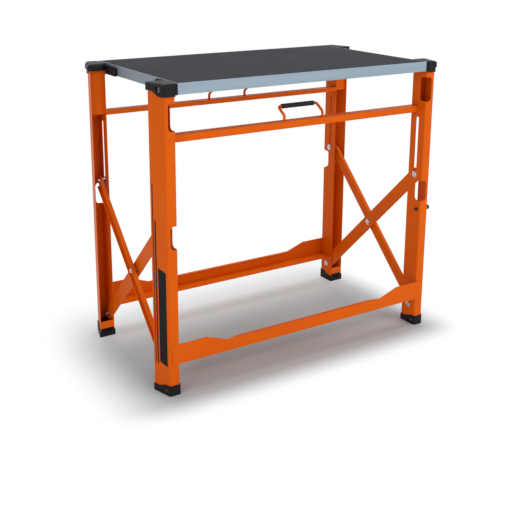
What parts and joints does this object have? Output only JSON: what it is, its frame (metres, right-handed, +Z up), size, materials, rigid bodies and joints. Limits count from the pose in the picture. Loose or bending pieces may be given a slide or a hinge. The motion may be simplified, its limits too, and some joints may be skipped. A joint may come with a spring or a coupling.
{
  "type": "folding workbench",
  "caption": "Folding workbench with sheet-steel channel legs, scissor braces, carrying handles and a rubber-matted work top that swings over and hangs in front of the stand.",
  "frame": {"origin": "floor level, under the middle of the bench", "axes": "+X to the right end, +Y to the rear, +Z up"},
  "size_m": [0.9728, 0.521, 0.87],
  "materials": {
    "orange_paint": "satin powder coat on sheet steel",
    "black_plastic": "fine moulded grain",
    "grip_rubber": "smooth soft grip",
    "mat_rubber": "fine pebbled surface",
    "board": "pressed board",
    "alloy_edge": "extruded, satin",
    "zinc_steel": "bright zinc",
    "black_oxide": "blackened steel"
  },
  "bodies": {
    "front_frame": {"leg_front_left": "orange_paint", "leg_front_right": "orange_paint", "closers_front": "orange_paint", "ties_front": "orange_paint", "foot_front_left": "black_plastic", "foot_front_right": "black_plastic", "cap_front_left": "black_plastic", "cap_front_right": "black_plastic", "top_rail_front": "orange_paint", "bottom_rail_front": "orange_paint", "handle_front": "orange_paint", "grip_front": "grip_rubber", "pivot_bolts_front": "zinc_steel", "pivot_spacers_front": "zinc_steel", "pivot_nuts_front": "zinc_steel", "hinge_bolts": "zinc_steel", "hinge_spacers": "zinc_steel", "lock_housing": "zinc_steel", "lock_spring": "zinc_steel"},
    "outer_braces": {"outer_bar_left": "orange_paint", "outer_bar_right": "orange_paint", "slide_bolts_rear": "zinc_steel", "slide_bushes_rear": "zinc_steel", "slide_nuts_rear": "zinc_steel", "cross_bolts": "zinc_steel", "cross_washers": "zinc_steel", "cross_nuts": "zinc_steel"},
    "inner_braces": {"inner_bar_left": "orange_paint", "inner_bar_right": "orange_paint", "slide_bolts_front": "zinc_steel", "slide_bushes_front": "zinc_steel", "slide_nuts_front": "zinc_steel"},
    "rear_frame": {"leg_rear_left": "orange_paint", "leg_rear_right": "orange_paint", "closers_rear": "orange_paint", "ties_rear": "orange_paint", "foot_rear_left": "black_plastic", "foot_rear_right": "black_plastic", "cap_rear_left": "black_plastic", "cap_rear_right": "black_plastic", "top_rail_rear": "orange_paint", "bottom_rail_rear": "orange_paint", "handle_rear": "orange_paint", "grip_rear": "grip_rubber", "pivot_bolts_rear": "zinc_steel", "pivot_spacers_rear": "zinc_steel", "pivot_nuts_rear": "zinc_steel", "cap_screws": "zinc_steel", "cap_spacers": "zinc_steel", "rest_studs": "zinc_steel"},
    "work_top": {"board_core": "board", "edge_front": "alloy_edge", "edge_rear": "alloy_edge", "edge_left": "alloy_edge", "edge_right": "alloy_edge", "mat": "mat_rubber", "hinge_plates": "black_plastic", "rest_plates": "black_plastic"},
    "lock_plunger": {"lock_pin": "black_oxide", "lock_knob": "black_plastic"}
  },
  "joints": [
    {"name": "fold", "type": "hinge", "parent": "front_frame", "child": "outer_braces", "pos_m": [0, -0.2245, 0.062], "axis": [1, 0, 0], "range_deg": [0, 36.5]},
    {"name": "fold_crossing", "type": "hinge", "parent": "outer_braces", "child": "inner_braces", "pos_m": [0, 0, 0.284], "axis": [1, 0, 0], "range_deg": [-73.1, 0.1]},
    {"name": "fold_rear_pivot", "type": "hinge", "parent": "inner_braces", "child": "rear_frame", "pos_m": [0, 0.2245, 0.062], "axis": [1, 0, 0], "range_deg": [-0.1, 36.6]},
    {"name": "top_swing", "type": "hinge", "parent": "front_frame", "child": "work_top", "pos_m": [0, -0.2415, 0.855], "axis": [1, 0, 0], "range_deg": [0, 270]},
    {"name": "lock_slide", "type": "slide", "parent": "front_frame", "child": "lock_plunger", "axis": [1, 0, 0], "range_m": [0, 0.007]}
  ],
  "couplings": [
    {"joint": "fold_crossing", "follows": "fold", "ratio": -2},
    {"joint": "fold_rear_pivot", "follows": "fold", "ratio": 1}
  ]
}
